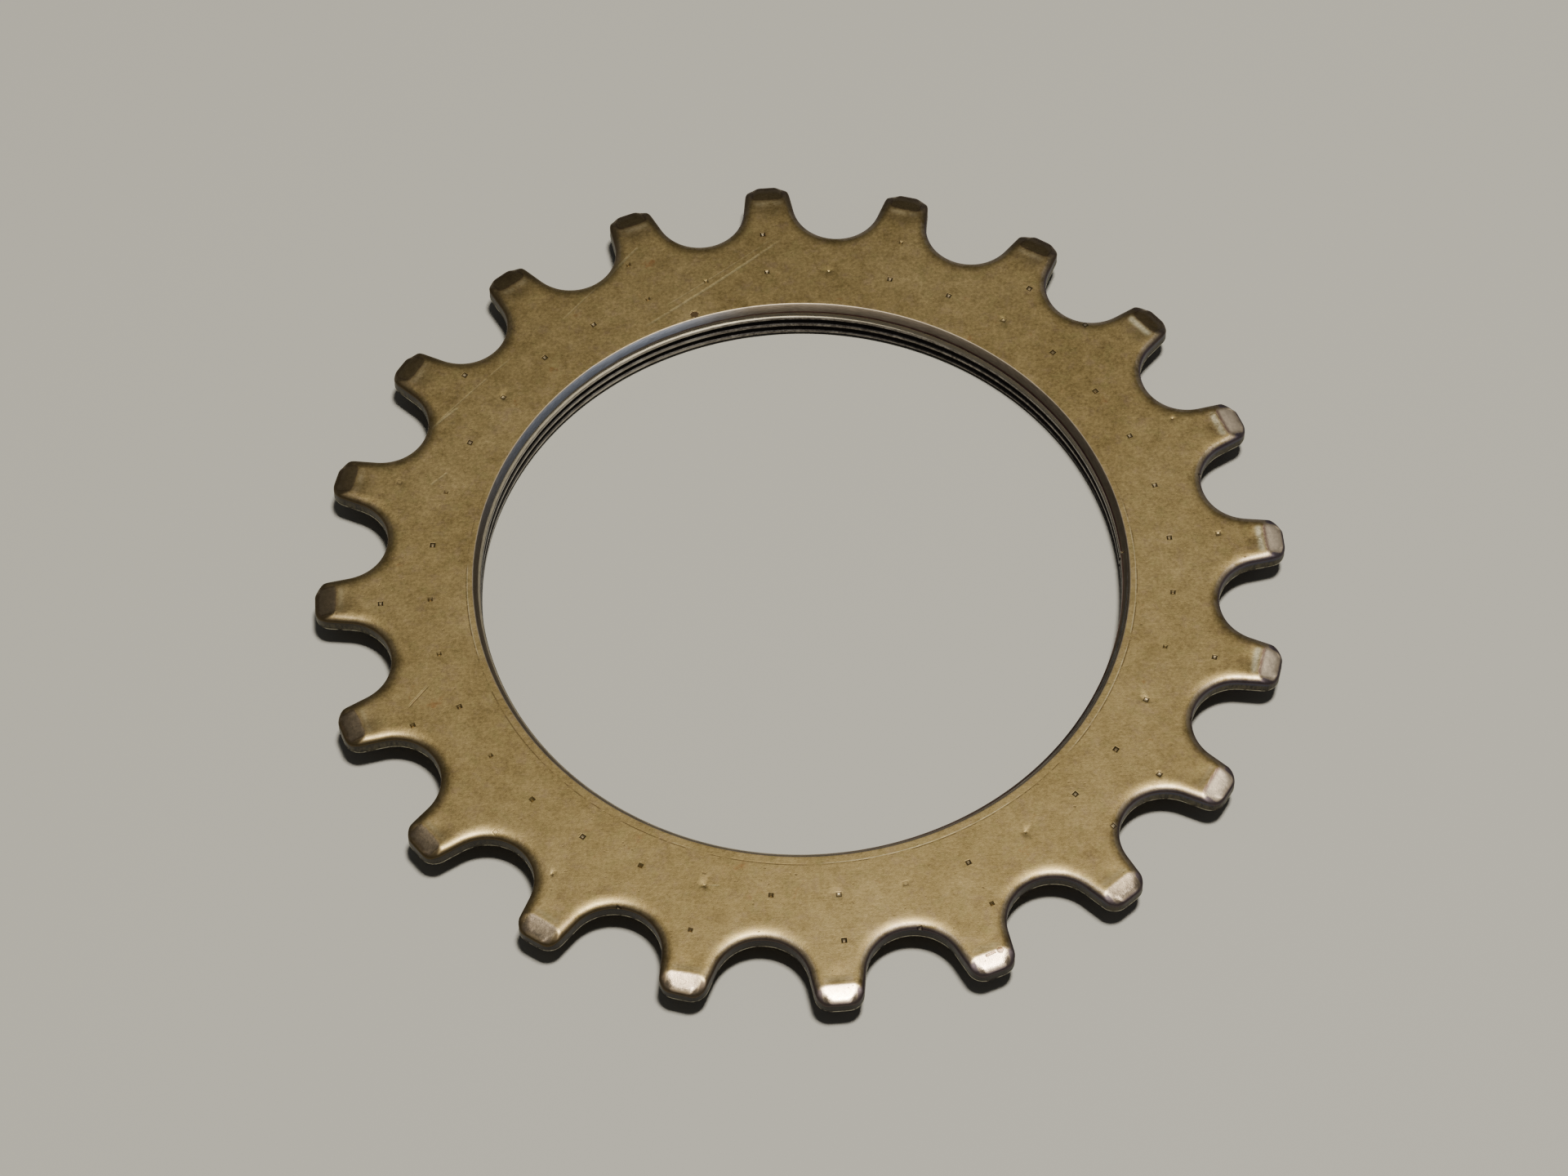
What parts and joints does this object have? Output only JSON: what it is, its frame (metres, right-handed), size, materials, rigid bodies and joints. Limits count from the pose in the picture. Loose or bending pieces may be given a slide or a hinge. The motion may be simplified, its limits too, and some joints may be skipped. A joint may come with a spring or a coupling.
{
  "type": "threaded freewheel sprocket",
  "caption": "Thin stamped steel bicycle freewheel sprocket with a ring of teeth, a large internally threaded bore and a short boss on one face.",
  "frame": {"origin": "centre of the bore at the seating face of the boss, where the sprocket rests when laid boss down", "axes": "+Z along the bore axis from the boss towards the toothed plate's outer face, +Y through the middle of one tooth"},
  "size_m": [0.0854, 0.0854, 0.0039],
  "materials": {
    "steel": "tarnished bronze-brown satin steel, bright worn edges, bare machined bore mouth and thread"
  },
  "bodies": {
    "root": {"cog": "steel"}
  },
  "joints": []
}
